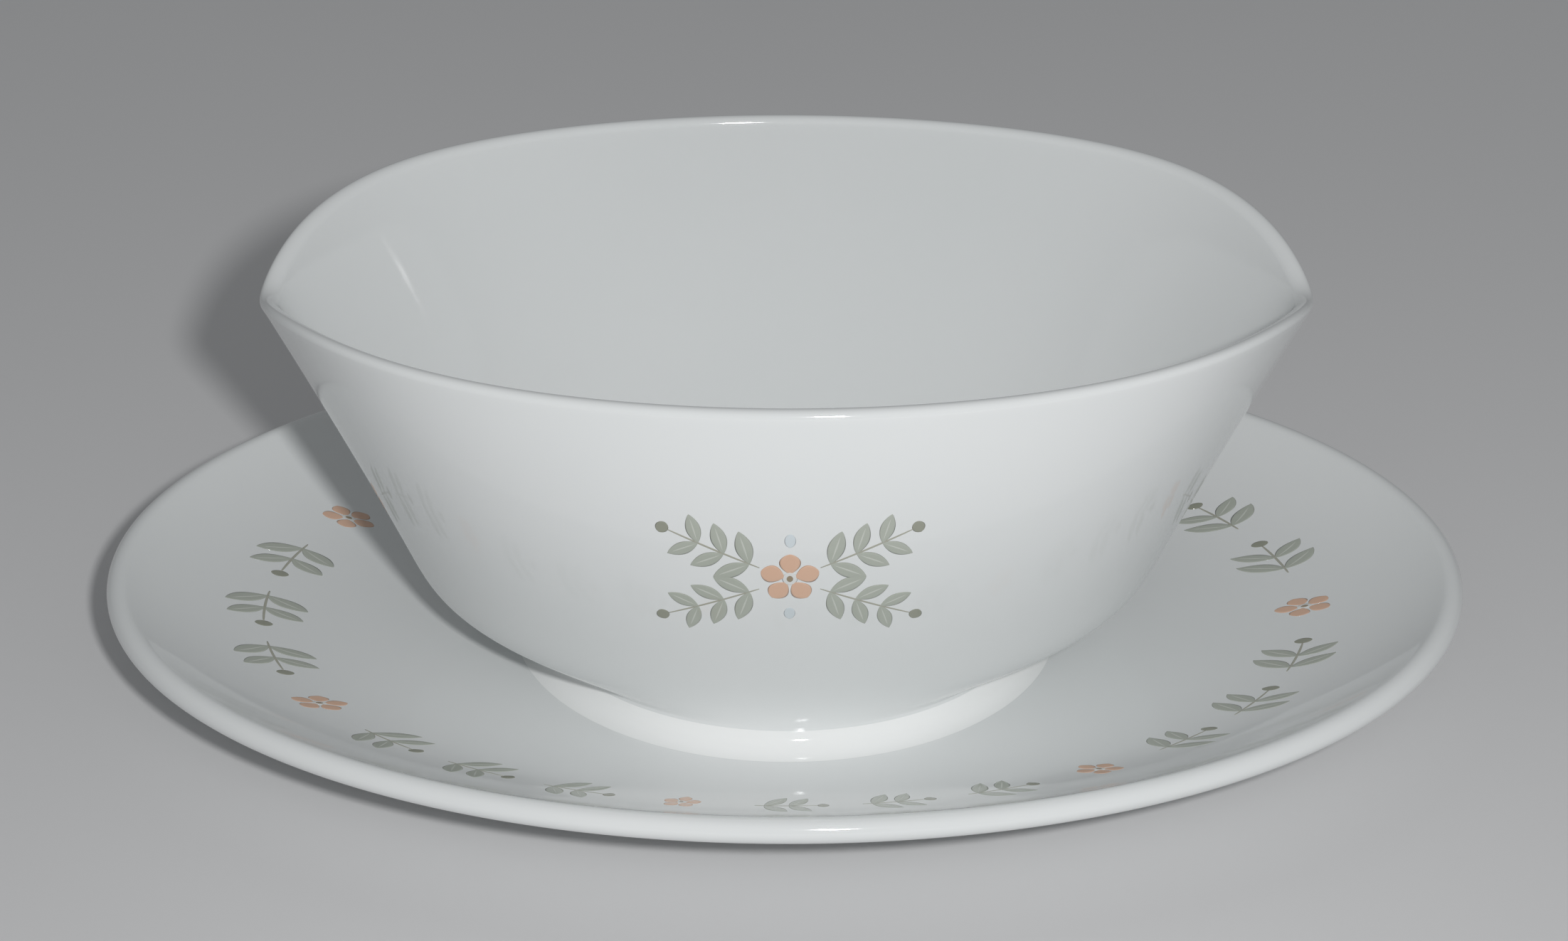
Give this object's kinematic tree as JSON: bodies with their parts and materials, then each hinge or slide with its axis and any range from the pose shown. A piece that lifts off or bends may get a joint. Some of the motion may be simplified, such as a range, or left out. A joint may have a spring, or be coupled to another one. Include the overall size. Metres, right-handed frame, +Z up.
{
  "type": "gravy boat",
  "caption": "Oval porcelain gravy boat with a pouring spout at each end, its hollow foot luted for good to a coupe underplate with a foot ring.",
  "frame": {"origin": "middle of the table plane under the underplate's foot ring", "axes": "+X along the long way of the bowl and the plate, from spout to spout; +Z up; +Y across"},
  "size_m": [0.232, 0.167, 0.0772],
  "materials": {
    "bowl_glaze": "clear gloss glaze over white porcelain",
    "joint_glaze": "clear gloss glaze over luted porcelain slip",
    "plate_glaze": "clear gloss glaze, unglazed on the foot ring's edge"
  },
  "bodies": {
    "root": {"boat": "bowl_glaze", "slip_joint": "joint_glaze", "underplate": "plate_glaze"}
  },
  "joints": []
}
